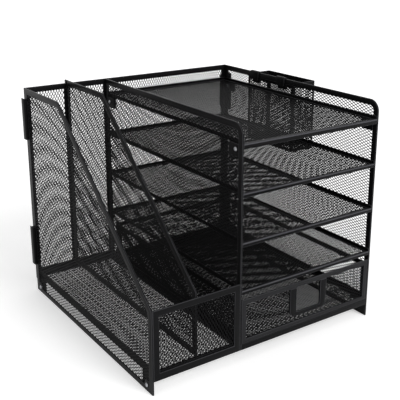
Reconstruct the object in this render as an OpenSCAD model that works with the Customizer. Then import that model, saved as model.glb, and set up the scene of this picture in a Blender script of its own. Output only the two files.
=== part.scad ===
// Envelope sorter with drawer: a desk organizer of black steel mesh held in folded steel strips.
// X runs from left to right, Y from the front edges to the back, Z up from the desk.
// The origin is on the desk, in the middle of the whole object's width and depth.

/* [Overall] */
// Width over the two outer sides
body_w = 364; // [340:1:400]
// Depth from the front edges to the rear face of the back panel
body_d = 358; // [335:1:380]
// Height of the sides and the back panel
body_h = 322; // [290:1:350]
// Height at which the front wall, inner side, back and base start
base_gap = 18; // [14:1:24]

/* [Strip and mesh] */
// Thickness of the folded strip that edges each panel
strip_t = 2.4; // [2:0.1:3]
// Width of that strip
strip_w = 8.5; // [8:0.5:12]
// Width of the bottom strip of the two outer sides, which stand on the desk
foot_strip_w = 11; // [9:0.5:16]
// Thickness of the mesh sheet
mesh_t = 0.6; // [0.4:0.1:0.8]
// How deep the mesh sits in its strip
mesh_seat = 3; // [2:0.5:4]
// Clearance of the mesh in its groove, all round
mesh_fit = 0.1; // [0.05:0.05:0.2]
// Pitch of the coarse grid of openings in a mesh sheet
mesh_pitch = 29; // [26:1:40]
// Width of the bars between those openings
mesh_bar_w = 5; // [4:0.5:8]
// Gap between panels and trays where they meet
joint_fit = 0.1; // [0.05:0.05:0.3]
// Radius of the rounded top front corners of the inner and right sides
corner_r = 16; // [10:1:24]

/* [File bays] */
// Width of the file section, over the left side and the inner side
file_w = 134; // [110:1:150]
// Height of the low front wall, where the sloped edges start
front_wall_h = 113; // [90:1:140]
// Length of the level top edge behind the slope
top_edge_l = 120; // [80:1:150]
// Radius of the bend between the slope and the level top edge
slope_r = 18; // [8:1:30]
// How far the divider stands above the back panel, which its hook goes over
divider_rise = 5; // [3:0.5:10]
// Height of the file floor's lower face above the base gap
file_floor_rise = 9; // [8.5:0.5:14]
// Height of the file floor's raised edge
file_flange_h = 8; // [5:0.5:12]

/* [Trays] */
// Height of a shelf's front lip, which is turned down
shelf_lip_h = 5.5; // [4:0.5:8]
// Height of the top tray's front lip
top_lip_h = 7; // [5:0.5:10]
// Height of the raised edge at the sides and back of a tray
tray_h = 6; // [5.5:0.5:8]
// Thickness of a tray's floor strip
tray_t = 2; // [1.6:0.1:2.6]
// Width of a tray's floor strip
tray_strip_w = 6.5; // [5.5:0.5:10]
// Thickness of a tray's raised edge
flange_t = 1.2; // [0.8:0.1:1.6]
// Height of the base tray's front lip
base_lip_h = 9; // [8:0.5:11]
// Height of the drawer bay, from the top of the base tray to the lower shelf's lip
drawer_bay_h = 70; // [66:1:72]
// How far the sides stand above the top tray's lip
top_tray_drop = 32; // [24:1:40]
// Step from the upper shelf's lip to the top tray's
top_bay_h = 62; // [50:1:70]
// Width of the tabs that hold shelves and the front wall in the posts
tab_w = 3.5; // [2.5:0.1:4]
// Height of those tabs
tab_h = 5; // [3:0.5:5.5]

/* [Screws] */
// Diameter of the screw shanks
screw_d = 2.9; // [2.5:0.1:3.2]
// Diameter of the screw heads
head_d = 5.6; // [5:0.1:6]
// Height of the screw heads
head_h = 1.8; // [1.4:0.1:2.2]
// Width of the nuts across their flats
nut_af = 5.4; // [5:0.1:5.6]
// Thickness of the nuts
nut_t = 2.2; // [1.8:0.1:2.6]
// Radial clearance of the shanks in nuts, ears and pads
screw_fit = 0.08; // [0.05:0.01:0.15]
// Distance of the front screws from the front edges
screw_y = 14; // [12:0.5:20]
// Gap between the heads of the rear screws and the rear corner sleeves
sleeve_head_gap = 1; // [0.5:0.25:3]
// Length of the screw ears
ear_l = 22; // [16:1:30]
// Distance of a screw from its ear's nearer end
ear_lead = 7; // [5:0.5:8]
// How far the top tray's screws lie below its floor
top_screw_drop = 7; // [5:0.5:9]
// How far the top tray's ears reach below its floor
top_ear_h = 16; // [13:0.5:20]
// Height of the base and inner side's screws above the base gap
base_screw_rise = 3.4; // [3.2:0.1:4]
// Height of the left side's floor screws above the desk
left_screw_z = 8.5; // [6:0.5:14]
// Length of the pads at the foot of the two outer sides
foot_pad_l = 37; // [30:1:50]

/* [Drawer] */
// Gap between the drawer front and the posts beside it
drawer_gap = 0.8; // [0.5:0.1:1.5]
// Gap under the drawer and beside its box
run_gap = 0.4; // [0.3:0.05:0.8]
// Height of the drawer front
drawer_front_h = 62; // [50:1:64]
// Height of the drawer's sides and back
drawer_side_h = 56; // [40:1:58]
// Length of the drawer, from its front face to its back
drawer_l = 344; // [240:1:346]
// Width of the strips round the drawer front
drawer_strip_w = 7; // [6:0.5:9]
// Width of the pull's frame
pull_w = 65; // [55:1:90]
// Height of the pull's frame below the drawer front's top strip
pull_h = 42; // [30:1:42]
// Width of the pull's side bars
pull_bar_w = 11; // [8:0.5:14]
// Height of the pull's lower bar
pull_low_w = 7; // [6:0.5:9]
// How far the pull stands in front of the strips
pull_proud = 0.8; // [0.4:0.1:2]
// Outer radius of the pull's lower corners
pull_r = 9; // [4:0.5:12]

/* [Pen holder] */
// Outer depth of the pen holder, away from the side it hangs on
pen_w = 46; // [36:1:60]
// Outer length of the pen holder, along that side
pen_l = 115; // [80:1:120]
// Height of the pen holder
pen_h = 110; // [90:1:130]
// Distance of the pen holder's front from the front edges
pen_y = 181; // [150:1:220]
// How far the pen holder's rim lies below the top of the side
pen_drop = 6; // [4:0.5:12]
// Thickness of the pen holder's strips
pen_strip_t = 1.2; // [0.8:0.1:1.6]
// Width of the strip round its rim
pen_rim_w = 8; // [6:0.5:12]
// Width of its corner and bottom strips
pen_edge_w = 5; // [4:0.5:8]
// Thickness of the hooks
hook_t = 1.5; // [1:0.1:2]
// Width of the hooks
hook_w = 20; // [12:1:28]
// How far the hooks reach down on both faces of the side
hook_drop = 12; // [9:0.5:16]
// Distance of the hooks from the holder's ends
hook_inset = 15; // [6:1:20]
// Clearance of the hooks round the top strip
hook_fit = 0.35; // [0.3:0.05:0.6]

/* [Rear corners] */
// Height of the sleeves at the rear corners
sleeve_h = 62; // [40:1:80]
// Length of the sleeves along the sides
sleeve_l = 10; // [8:0.5:14]
// How far the sleeves stand out from the sides
sleeve_out = 5.5; // [5:0.25:7]
// Thickness of the sleeves and of the back hooks in them
sleeve_t = 1.2; // [1:0.1:1.4]
// Distance of the upper sleeves below the top
sleeve_top_gap = 14; // [10:1:30]
// Height of the lower sleeves above the desk
sleeve_low_z = 46; // [30:1:80]
// Length that a back hook lies on the back panel
back_hook_l = 10; // [7:0.5:14]

/* [Hidden] */
$fn = 32;

// Flat faces that are welded or screwed together lie this far apart
seat_gap = 0.05;
// Segments in a rounded corner of an outline
arc_steps = 6;
// Cuts run this far past the faces that they open
past = 1;
// Share of a post's thickness that a tab fills
tab_share = 0.9;
// Most openings that a mesh sheet has each way
most_openings = 12;

// Side panels: they end where the back panel starts
side_d = body_d - strip_t - joint_fit;
inner_x = file_w - strip_t;
divider_x = (inner_x + strip_t) / 2 - strip_t / 2;
slope_y = body_d - top_edge_l;
solid_w = strip_w - mesh_seat - mesh_fit;
tab_y = solid_w / 2;

// Heights of the lower faces of the floors
file_floor_z = base_gap + file_floor_rise;
base_top_z = base_gap + base_lip_h;
base_tray_z = base_top_z - tray_t;
top_lip_z = body_h - top_tray_drop;
top_tray_z = top_lip_z + top_lip_h - tray_t;
upper_shelf_z = top_lip_z - top_bay_h + shelf_lip_h - tray_t;
lower_shelf_z = base_top_z + drawer_bay_h + shelf_lip_h - tray_t;
middle_shelf_z = (lower_shelf_z + upper_shelf_z) / 2;
base_screw_z = base_gap + base_screw_rise;
top_screw_z = top_tray_z - top_screw_drop;

// Trays between the inner side and the right side
tray_x = file_w + joint_fit;
tray_w = body_w - strip_t - joint_fit - tray_x;
// File floor between the left side and the inner side
file_floor_x = strip_t + joint_fit;
file_floor_w = inner_x - joint_fit - file_floor_x;
file_floor_y = strip_t + joint_fit;
file_floor_d = side_d - file_floor_y;

// Drawer
front_x = file_w + drawer_gap;
front_w = body_w - strip_t - drawer_gap - front_x;
front_z = base_top_z + run_gap;
box_x = tray_x + flange_t + run_gap;
box_w = tray_w - 2 * (flange_t + run_gap);
box_y = strip_t + seat_gap;
box_l = drawer_l - box_y;
box_side_z = front_z + tray_t + seat_gap;
front_open_top = front_z + drawer_front_h - drawer_strip_w;
pull_x = front_x + front_w / 2 - pull_w / 2;
pull_z = front_open_top - pull_h;

// Pen holder
pen_x = body_w + hook_fit + hook_t + seat_gap;
pen_z = body_h - pen_drop - pen_h;
hook_ys = [pen_y + hook_inset, pen_y + pen_l - hook_inset - hook_w];

// Extents of the whole object, to centre it
x_low = -sleeve_out;
x_high = pen_x + pen_w;
y_low = -pull_proud;
y_high = body_d + joint_fit + sleeve_t;

strip_colour = [0.07, 0.07, 0.075];
mesh_colour = [0.13, 0.13, 0.14];
screw_colour = [0.75, 0.76, 0.78];

// ---- Outlines ----

function unit(v) = v / norm(v);
function left_of(v) = [-v[1], v[0]];

// A convex outline, counter-clockwise, moved in by its own distance at each edge
function inset(points, widths) = [
    for (i = [0:len(points) - 1])
        let (
            n = len(points),
            before = points[(i + n - 1) % n],
            here = points[i],
            after = points[(i + 1) % n],
            in_1 = left_of(unit(here - before)),
            in_2 = left_of(unit(after - here)),
            w_1 = widths[(i + n - 1) % n],
            w_2 = widths[i],
            c = in_1 * in_2
        )
        here + ((w_1 - c * w_2) * in_1 + (w_2 - c * w_1) * in_2) / (1 - c * c)
];

// The same outline with an arc of the given radius at each corner that has one
function rounded(points, radii) = [
    for (i = [0:len(points) - 1])
        let (
            n = len(points),
            here = points[i],
            back = unit(points[(i + n - 1) % n] - here),
            ahead = unit(points[(i + 1) % n] - here),
            half = acos(back * ahead) / 2,
            r = radii[i],
            centre = here + unit(back + ahead) * r / sin(half),
            start = here + back * r / tan(half) - centre,
            from = atan2(start[1], start[0])
        )
        each r == 0 ? [here] : [
            for (k = [0:arc_steps])
                let (a = from + (180 - 2 * half) * k / arc_steps)
                centre + r * [cos(a), sin(a)]
        ]
];

function same(value, count) = [for (i = [1:count]) value];
function less(values, amount) = [for (v = values) max(v - amount, 0)];

// Corner radii of an outline that is moved in by widths
function inset_radii(radii, widths) = [
    for (i = [0:len(radii) - 1])
        let (n = len(radii), least = min(widths[i], widths[(i + n - 1) % n]))
        max(radii[i] - least, 0)
];

function box_outline(x0, y0, x1, y1) = [[x0, y0], [x1, y0], [x1, y1], [x0, y1]];

// Side with a sloped front edge: bottom, rear, top, slope and front
function sloped_outline(y0, z0, y1, z1, slope_start, low_h) =
    [[y0, z0], [y1, z0], [y1, z1], [slope_start, z1], [y0, low_h]];

// ---- Flat panels: a strip all round and a mesh sheet in the strip's groove ----

// Solid sheet of an outline in X and Y, moved in by widths, between two heights
module sheet(outline, radii, widths, z0, z1) {
    translate([0, 0, z0])
        linear_extrude(z1 - z0)
            polygon(rounded(inset(outline, widths), inset_radii(radii, widths)));
}

// Groove that the mesh sits in
module mesh_groove(outline, radii, widths, t) {
    sheet(outline, radii, less(widths, mesh_seat + mesh_fit),
        t / 2 - mesh_t / 2 - mesh_fit, t / 2 + mesh_t / 2 + mesh_fit);
}

// Mesh sheet of a panel of thickness t, with a grid of openings in each of its bays
module mesh_sheet(outline, radii, widths, t, bays, pads = []) {
    translate([0, 0, t / 2 - mesh_t / 2])
        linear_extrude(mesh_t)
            difference() {
                polygon(rounded(inset(outline, less(widths, mesh_seat)),
                    inset_radii(radii, less(widths, mesh_seat))));
                for (bay = is_undef(bays) ? [inset(outline, widths)] : bays)
                    mesh_openings(bay, pads);
            }
}

function grid_count(length) = max(1, min(most_openings, round(length / mesh_pitch)));

// Whether a point lies in a convex outline, and whether a cell from a to b misses a box
function is_in(p, outline) = min([
    for (i = [0:len(outline) - 1])
        let (along = outline[(i + 1) % len(outline)] - outline[i])
        left_of(unit(along)) * (p - outline[i])
]) > -0.01;
function misses(a, b, box) = b[0] <= box[0] || a[0] >= box[2] || b[1] <= box[1] || a[1] >= box[3];

// Square openings in rows over a bay, without those that cross its edge or lie on a pad
module mesh_openings(bay, pads) {
    low = [min([for (p = bay) p[0]]), min([for (p = bay) p[1]])];
    size = [max([for (p = bay) p[0]]), max([for (p = bay) p[1]])] - low;
    step = [size[0] / grid_count(size[0]), size[1] / grid_count(size[1])];
    opening = step - [mesh_bar_w, mesh_bar_w];
    for (x = [0:grid_count(size[0]) - 1], y = [0:grid_count(size[1]) - 1]) {
        a = low + [x * step[0], y * step[1]] + [mesh_bar_w, mesh_bar_w] / 2;
        b = a + opening;
        fits = [for (p = [a, [b[0], a[1]], b, [a[0], b[1]]]) if (!is_in(p, bay)) p] == [];
        free = [for (pad = pads) if (!misses(a, b, pad)) pad] == [];
        if (fits && free) translate(a) square(opening);
    }
}

// Strip round a panel of thickness t, with solid pads and bars inside it
module strip_frame(outline, radii, widths, t, pads = []) {
    difference() {
        union() {
            difference() {
                sheet(outline, radii, less(widths, max(widths)), 0, t);
                sheet(outline, radii, widths, -past, t + past);
            }
            if (len(pads) > 0)
                intersection() {
                    sheet(outline, radii, less(widths, max(widths)), 0, t);
                    for (pad = pads)
                        translate([pad[0], pad[1]]) cube([pad[2] - pad[0], pad[3] - pad[1], t]);
                }
        }
        mesh_groove(outline, radii, widths, t);
    }
}

// Turns a panel drawn in X and Y to stand in Y and Z, with its thickness along X
module stand_side(x) translate([x, 0, 0]) rotate([90, 0, 90]) children();

// Turns a panel drawn in X and Y to stand in X and Z, with its thickness along Y
module stand_front(y, t) translate([0, y + t, 0]) rotate([90, 0, 0]) children();

module in_frame() translate([-(x_low + x_high) / 2, -(y_low + y_high) / 2, 0]) children();

// ---- What the panels share ----

left_outline = sloped_outline(0, 0, side_d, body_h, slope_y, front_wall_h);
left_radii = [0, 0, 0, slope_r, 0];
left_widths = [foot_strip_w, strip_w, strip_w, strip_w, strip_w];

divider_y = file_floor_y + flange_t + joint_fit;
divider_end = side_d - flange_t - joint_fit;
divider_z = file_floor_z + tray_t + joint_fit;
divider_outline = sloped_outline(divider_y, divider_z, divider_end, body_h + divider_rise,
    slope_y, front_wall_h + divider_rise);

inner_outline = box_outline(0, base_gap, side_d, body_h);
right_outline = box_outline(0, 0, side_d, body_h);
tall_radii = [0, 0, 0, corner_r];
inner_widths = same(strip_w, 4);
right_widths = [foot_strip_w, strip_w, strip_w, strip_w];

// The back panel's upright bars stand behind the divider and the inner side
back_outline = box_outline(0, base_gap, body_w, body_h);
back_widths = same(strip_w, 4);
back_bars = [
    for (side_x = [divider_x, inner_x])
        let (x = side_x + strip_t / 2)
        [x - strip_w / 2, base_gap, x + strip_w / 2, body_h]
];
back_bay_ends = [strip_w, for (bar = back_bars) each [bar[0], bar[2]], body_w - strip_w];
back_bays = [
    for (i = [0:2:len(back_bay_ends) - 2])
        box_outline(back_bay_ends[i], base_gap + strip_w, back_bay_ends[i + 1], body_h - strip_w)
];

wall_x = strip_t + joint_fit;
wall_outline = box_outline(wall_x, base_gap, inner_x - joint_fit, front_wall_h);
wall_widths = [base_lip_h + 1, strip_w, strip_w, strip_w];
wall_tab_zs = [base_gap + 3 * tab_h, front_wall_h - 4 * tab_h];

front_outline = box_outline(front_x, front_z, front_x + front_w, front_z + drawer_front_h);
front_widths = same(drawer_strip_w, 4);
pull_outline = box_outline(pull_x, pull_z, pull_x + pull_w, front_open_top);
pull_radii = [pull_r, pull_r, 0, 0];
pull_widths = [pull_low_w, pull_bar_w, -past, pull_bar_w];
front_bays = [
    for (ends = [[front_x + drawer_strip_w, pull_x], [pull_x + pull_w, front_x + front_w - drawer_strip_w]])
        box_outline(ends[0], front_z + drawer_strip_w, ends[1], front_open_top)
];

shelf_zs = [lower_shelf_z, middle_shelf_z, upper_shelf_z];
tab_ys = [tab_y, side_d - tab_y];
rear_screw_y = side_d - sleeve_l - sleeve_head_gap - head_d / 2;
screw_ys = [screw_y, rear_screw_y];
ear_ys = [screw_y - ear_lead, rear_screw_y + ear_lead - ear_l];
top_pad_l = max(ear_ys[0] + ear_l, side_d - ear_ys[1]);

// Pads in a side where the screws of a tray go through, as boxes in Y and Z
function pads(length, z0, z1) = [[0, z0, length, z1], [side_d - length, z0, side_d, z1]];
left_pads = pads(foot_pad_l, 0, file_floor_z);
inner_pads = pads(top_pad_l, top_tray_z - top_ear_h, top_tray_z);
right_pads = concat(inner_pads, pads(foot_pad_l, 0, base_top_z));

// ---- Tabs, ears and holes ----

// A slot or tab block through a side at x, centred at y, standing on z
module tab_block(x, y, z, grow) {
    translate([x - grow, y - tab_w / 2 - grow, z - grow])
        cube([strip_t + 2 * grow, tab_w + 2 * grow, tab_h + 2 * grow]);
}

// Slots for the shelves in both posts of a side whose left face is at x
module shelf_slots(x) {
    for (z = shelf_zs, y = tab_ys) {
        translate([-past, 0, 0]) tab_block(x, y, z, joint_fit);
        translate([past, 0, 0]) tab_block(x, y, z, joint_fit);
    }
}

// Slots for the front wall's tabs, which lie in the middle of its thickness
module wall_slots(x) {
    for (z = wall_tab_zs)
        translate([x - past, strip_t / 3 - joint_fit, z - joint_fit])
            cube([strip_t + 2 * past, strip_t / 3 + 2 * joint_fit, tab_h + 2 * joint_fit]);
}

// Screw holes along X at height z, at both ends of a side
module screw_holes(x, z, grow) {
    for (y = screw_ys)
        translate([x - past, y, z])
            rotate([0, 90, 0])
                cylinder(h = strip_t + 2 * past, d = screw_d + 2 * grow);
}

// Ears under a tray's edge, with holes; z0 and z1 are their lower and upper ends
module ears(x, z0, z1, hole_z) {
    difference() {
        for (y = ear_ys)
            translate([x, y, z0])
                cube([flange_t, ear_l, z1 - z0]);
        for (y = screw_ys)
            translate([x - past, y, hole_z])
                rotate([0, 90, 0])
                    cylinder(h = flange_t + 2 * past, d = screw_d + 2 * screw_fit);
    }
}

// ---- Trays ----

// A tray is a flat floor frame with mesh in it, welded between edges that stand round it
floor_margin = flange_t + seat_gap;
floor_widths = same(tray_strip_w - floor_margin, 4);
function floor_outline(x, y, w, d) =
    box_outline(x + floor_margin, y + floor_margin, x + w - floor_margin, y + d - floor_margin);

module floor_frame(x, y, z, w, d) {
    translate([0, 0, z])
        strip_frame(floor_outline(x, y, w, d), same(0, 4), floor_widths, tray_t);
}

module floor_mesh(x, y, z, w, d) {
    translate([0, 0, z])
        mesh_sheet(floor_outline(x, y, w, d), same(0, 4), floor_widths, tray_t);
}

// Raised edges side_h high at the sides and back, and a lip lip_h high that is turned down from
// the floor's upper face at the front. Side edges that start behind the lip let it run full width
module tray_edges(x, y, z, w, d, side_h, lip_h, side_start) {
    lip_end = side_start > flange_t ? 0 : floor_margin;
    for (left = [x, x + w - flange_t])
        translate([left, y + side_start, z]) cube([flange_t, d - side_start, side_h]);
    translate([x + floor_margin, y + d - flange_t, z])
        cube([w - 2 * floor_margin, flange_t, side_h]);
    translate([x + lip_end, y, z + tray_t - lip_h]) cube([w - 2 * lip_end, flange_t, lip_h]);
}

// Trays and shelves between the inner side and the right side
module tray_rim(z) color(strip_colour) in_frame() floor_frame(tray_x, 0, z, tray_w, side_d);
module tray_mesh(z) color(mesh_colour) in_frame() floor_mesh(tray_x, 0, z, tray_w, side_d);

// A shelf's side edges have tabs that sit in the posts of the inner and right sides
module shelf_edges(z) {
    tab_reach = joint_fit + strip_t * tab_share;
    color(strip_colour) in_frame() {
        tray_edges(tray_x, 0, z, tray_w, side_d, tray_h, shelf_lip_h, 0);
        for (x = [tray_x - tab_reach, tray_x + tray_w - flange_t], y = tab_ys)
            translate([x, y - tab_w / 2, z]) cube([tab_reach + flange_t, tab_w, tab_h]);
    }
}

module upper_shelf_rim() tray_rim(upper_shelf_z);
module upper_shelf_mesh() tray_mesh(upper_shelf_z);
module upper_shelf_edges() shelf_edges(upper_shelf_z);
module middle_shelf_rim() tray_rim(middle_shelf_z);
module middle_shelf_mesh() tray_mesh(middle_shelf_z);
module middle_shelf_edges() shelf_edges(middle_shelf_z);
module lower_shelf_rim() tray_rim(lower_shelf_z);
module lower_shelf_mesh() tray_mesh(lower_shelf_z);
module lower_shelf_edges() shelf_edges(lower_shelf_z);

module top_tray_rim() tray_rim(top_tray_z);
module top_tray_mesh() tray_mesh(top_tray_z);
module top_tray_edges() {
    color(strip_colour) in_frame() {
        tray_edges(tray_x, 0, top_tray_z, tray_w, side_d, tray_h, top_lip_h, 0);
        for (x = [tray_x, tray_x + tray_w - flange_t])
            ears(x, top_tray_z - top_ear_h, top_tray_z + tray_t, top_screw_z);
    }
}

module base_tray_rim() tray_rim(base_tray_z);
module base_tray_mesh() tray_mesh(base_tray_z);
module base_tray_edges() {
    color(strip_colour) in_frame() {
        tray_edges(tray_x, 0, base_tray_z, tray_w, side_d, tray_h, base_lip_h, strip_t + run_gap);
        for (x = [tray_x, tray_x + tray_w - flange_t])
            ears(x, base_gap, base_top_z, base_screw_z);
    }
}

// Floor of the file bays
module file_floor_rim() {
    color(strip_colour) in_frame()
        floor_frame(file_floor_x, file_floor_y, file_floor_z, file_floor_w, file_floor_d);
}
module file_floor_mesh() {
    color(mesh_colour) in_frame()
        floor_mesh(file_floor_x, file_floor_y, file_floor_z, file_floor_w, file_floor_d);
}
module file_floor_edges() {
    color(strip_colour) in_frame() {
        tray_edges(file_floor_x, file_floor_y, file_floor_z, file_floor_w, file_floor_d,
            file_flange_h, shelf_lip_h, 0);
        ears(file_floor_x, left_screw_z - head_d, file_floor_z + tray_t, left_screw_z);
        ears(file_floor_x + file_floor_w - flange_t, base_gap, file_floor_z + tray_t, base_screw_z);
    }
}

// ---- Sides, divider, back and front wall ----

module left_side_rim() {
    color(strip_colour) in_frame() difference() {
        stand_side(0) strip_frame(left_outline, left_radii, left_widths, strip_t, left_pads);
        wall_slots(0);
        screw_holes(0, left_screw_z, screw_fit);
    }
}
module left_side_mesh() {
    color(mesh_colour) in_frame() difference() {
        stand_side(0)
            mesh_sheet(left_outline, left_radii, left_widths, strip_t, pads = left_pads);
        screw_holes(0, left_screw_z, 2 * screw_fit);
    }
}

module divider_rim() {
    hook_end = body_d + joint_fit + sleeve_t;
    color(strip_colour) in_frame() {
        stand_side(divider_x)
            strip_frame(divider_outline, left_radii, same(strip_w, 5), strip_t);
        translate([divider_x, divider_end - strip_w / 2, body_h + joint_fit])
            cube([strip_t, hook_end - divider_end + strip_w / 2, divider_rise - joint_fit]);
        translate([divider_x, body_d + joint_fit, body_h - hook_drop / 2])
            cube([strip_t, sleeve_t, hook_drop / 2 + divider_rise]);
    }
}
module divider_mesh() {
    color(mesh_colour) in_frame()
        stand_side(divider_x) mesh_sheet(divider_outline, left_radii, same(strip_w, 5), strip_t);
}

module inner_side_rim() {
    color(strip_colour) in_frame() difference() {
        stand_side(inner_x)
            strip_frame(inner_outline, tall_radii, inner_widths, strip_t, inner_pads);
        wall_slots(inner_x);
        shelf_slots(inner_x);
        screw_holes(inner_x, base_screw_z, screw_fit);
        screw_holes(inner_x, top_screw_z, screw_fit);
    }
}
module inner_side_mesh() {
    color(mesh_colour) in_frame() difference() {
        stand_side(inner_x)
            mesh_sheet(inner_outline, tall_radii, inner_widths, strip_t, pads = inner_pads);
        screw_holes(inner_x, top_screw_z, 2 * screw_fit);
    }
}

module right_side_rim() {
    x = body_w - strip_t;
    color(strip_colour) in_frame() difference() {
        stand_side(x) strip_frame(right_outline, tall_radii, right_widths, strip_t, right_pads);
        shelf_slots(x);
        screw_holes(x, base_screw_z, screw_fit);
        screw_holes(x, top_screw_z, screw_fit);
    }
}
module right_side_mesh() {
    x = body_w - strip_t;
    color(mesh_colour) in_frame() difference() {
        stand_side(x)
            mesh_sheet(right_outline, tall_radii, right_widths, strip_t, pads = right_pads);
        screw_holes(x, base_screw_z, 2 * screw_fit);
        screw_holes(x, top_screw_z, 2 * screw_fit);
    }
}

module back_rim() {
    color(strip_colour) in_frame()
        stand_front(body_d - strip_t, strip_t)
            strip_frame(back_outline, same(0, 4), back_widths, strip_t, back_bars);
}
module back_mesh() {
    color(mesh_colour) in_frame()
        stand_front(body_d - strip_t, strip_t)
            mesh_sheet(back_outline, same(0, 4), back_widths, strip_t, back_bays);
}

module file_front_rim() {
    tab_reach = joint_fit + strip_t * tab_share;
    color(strip_colour) in_frame() {
        stand_front(0, strip_t) strip_frame(wall_outline, same(0, 4), wall_widths, strip_t);
        for (z = wall_tab_zs) {
            translate([wall_x - tab_reach, strip_t / 3, z])
                cube([tab_reach + solid_w / 2, strip_t / 3, tab_h]);
            translate([inner_x - joint_fit - solid_w / 2, strip_t / 3, z])
                cube([tab_reach + solid_w / 2, strip_t / 3, tab_h]);
        }
    }
}
module file_front_mesh() {
    color(mesh_colour) in_frame()
        stand_front(0, strip_t) mesh_sheet(wall_outline, same(0, 4), wall_widths, strip_t);
}

// ---- Rear corners ----

// Runs its children at the upper and lower height, on the left and mirrored on the right
module at_rear_corners() {
    for (z = [sleeve_low_z, body_h - sleeve_top_gap - sleeve_h]) {
        translate([0, 0, z]) children();
        translate([body_w, 0, z]) mirror([1, 0, 0]) children();
    }
}

// Sleeve on the outside of a side: an outer wall and a return that stands on the side
module corner_sleeves() {
    color(strip_colour) in_frame() at_rear_corners() {
        translate([-sleeve_out, side_d - sleeve_l, 0]) cube([sleeve_t, sleeve_l, sleeve_h]);
        translate([-sleeve_out, side_d - sleeve_l, 0])
            cube([sleeve_out - seat_gap, sleeve_t, sleeve_h]);
    }
}

// Hook from the back panel's rear face, round the corner and into the sleeve
module back_hooks() {
    hook_x = -sleeve_out + sleeve_t + joint_fit;
    length = sleeve_l - sleeve_t - joint_fit;
    rise = 3;
    color(strip_colour) in_frame() at_rear_corners()
        translate([0, 0, rise]) {
            translate([hook_x, body_d + seat_gap, 0])
                cube([back_hook_l - hook_x, sleeve_t, sleeve_h - 2 * rise]);
            translate([hook_x, side_d - length, 0])
                cube([sleeve_t, body_d + seat_gap + sleeve_t - side_d + length, sleeve_h - 2 * rise]);
        }
}

// ---- Screws and nuts ----

// Where the screws go: face under the head, direction along X, grip and height
one_ear = strip_t + joint_fit + flange_t;
two_ears = one_ear + joint_fit + flange_t;
SCREWS = [
    [0, 1, one_ear, left_screw_z],
    [inner_x - joint_fit - flange_t, 1, two_ears, base_screw_z],
    [inner_x, 1, one_ear, top_screw_z],
    [body_w, -1, one_ear, base_screw_z],
    [body_w, -1, one_ear, top_screw_z]
];

// Runs its child at each screw, with +Z of the child along the screw
module at_screws(reach) {
    for (s = SCREWS, y = screw_ys)
        translate([s[0], y, s[3]])
            rotate([0, s[1] * 90, 0])
                translate([0, 0, reach ? s[2] + seat_gap : 0])
                    children();
}

// Round-headed screw with a slot, its head's flat face at z = 0
module screw(grip) {
    slot_w = head_d / 6;
    difference() {
        union() {
            rotate_extrude()
                polygon([
                    [0, 0],
                    [0, -head_h],
                    for (a = [15:15:75]) [head_d / 2 * sin(a), -head_h * cos(a)],
                    [head_d / 2, 0]
                ]);
            cylinder(h = grip + nut_t + 1, d = screw_d);
        }
        translate([-head_d, -slot_w / 2, -head_h - past]) cube([2 * head_d, slot_w, past + head_h / 2]);
    }
}

module tray_screws() {
    color(screw_colour) in_frame()
        for (s = SCREWS, y = screw_ys)
            translate([s[0] - s[1] * seat_gap, y, s[3]])
                rotate([0, s[1] * 90, 0])
                    screw(s[2] + seat_gap);
}

module tray_nuts() {
    color(screw_colour) in_frame() at_screws(true)
        difference() {
            cylinder(h = nut_t, d = nut_af / cos(30), $fn = 6);
            translate([0, 0, -past]) cylinder(h = nut_t + 2 * past, d = screw_d + 2 * screw_fit);
        }
}

// ---- Drawer ----

module drawer_front_rim() {
    color(strip_colour) in_frame()
        stand_front(0, strip_t) strip_frame(front_outline, same(0, 4), front_widths, strip_t);
}

// The mesh of the front stops in the pull's frame, so that a finger goes through
module drawer_front_mesh() {
    opening = box_outline(pull_x, pull_z, pull_x + pull_w, front_open_top + drawer_strip_w);
    color(mesh_colour) in_frame()
        stand_front(0, strip_t) difference() {
            mesh_sheet(front_outline, same(0, 4), front_widths, strip_t, front_bays);
            sheet(opening, pull_radii, same(mesh_seat, 4), -past, strip_t + past);
        }
}

// U-shaped frame that hangs from the front's top strip
module drawer_pull() {
    t = strip_t + pull_proud;
    color(strip_colour) in_frame()
        stand_front(-pull_proud, t) difference() {
            sheet(pull_outline, pull_radii, [0, 0, seat_gap, 0], 0, t);
            sheet(pull_outline, pull_radii, pull_widths, -past, t + past);
            pull_groove();
        }
}

// Groove round the outside of the pull's frame, in which the front's mesh ends
module pull_groove() {
    depth = mesh_seat + mesh_fit;
    z = strip_t / 2 - mesh_t / 2 - mesh_fit;
    difference() {
        sheet(pull_outline, pull_radii, same(-past, 4), z, z + mesh_t + 2 * mesh_fit);
        sheet(pull_outline, pull_radii, [depth, depth, -2 * past, depth], -past, strip_t + past);
    }
}

// Outline of a drawer side in Y and Z, and of its back in X and Z
side_outline = box_outline(box_y, box_side_z, box_y + box_l, box_side_z + drawer_side_h);
rear_outline = box_outline(box_x + strip_t + seat_gap, box_side_z,
    box_x + box_w - strip_t - seat_gap, box_side_z + drawer_side_h);

module drawer_side_rim(x) {
    color(strip_colour) in_frame()
        stand_side(x) strip_frame(side_outline, same(0, 4), drawer_side_widths, strip_t);
}
module drawer_side_mesh(x) {
    color(mesh_colour) in_frame()
        stand_side(x) mesh_sheet(side_outline, same(0, 4), drawer_side_widths, strip_t);
}
drawer_side_widths = same(drawer_strip_w, 4);

module drawer_left_rim() drawer_side_rim(box_x);
module drawer_left_mesh() drawer_side_mesh(box_x);
module drawer_right_rim() drawer_side_rim(box_x + box_w - strip_t);
module drawer_right_mesh() drawer_side_mesh(box_x + box_w - strip_t);

module drawer_back_rim() {
    color(strip_colour) in_frame()
        stand_front(box_y + box_l - strip_t, strip_t)
            strip_frame(rear_outline, same(0, 4), drawer_side_widths, strip_t);
}
module drawer_back_mesh() {
    color(mesh_colour) in_frame()
        stand_front(box_y + box_l - strip_t, strip_t)
            mesh_sheet(rear_outline, same(0, 4), drawer_side_widths, strip_t);
}

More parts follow.
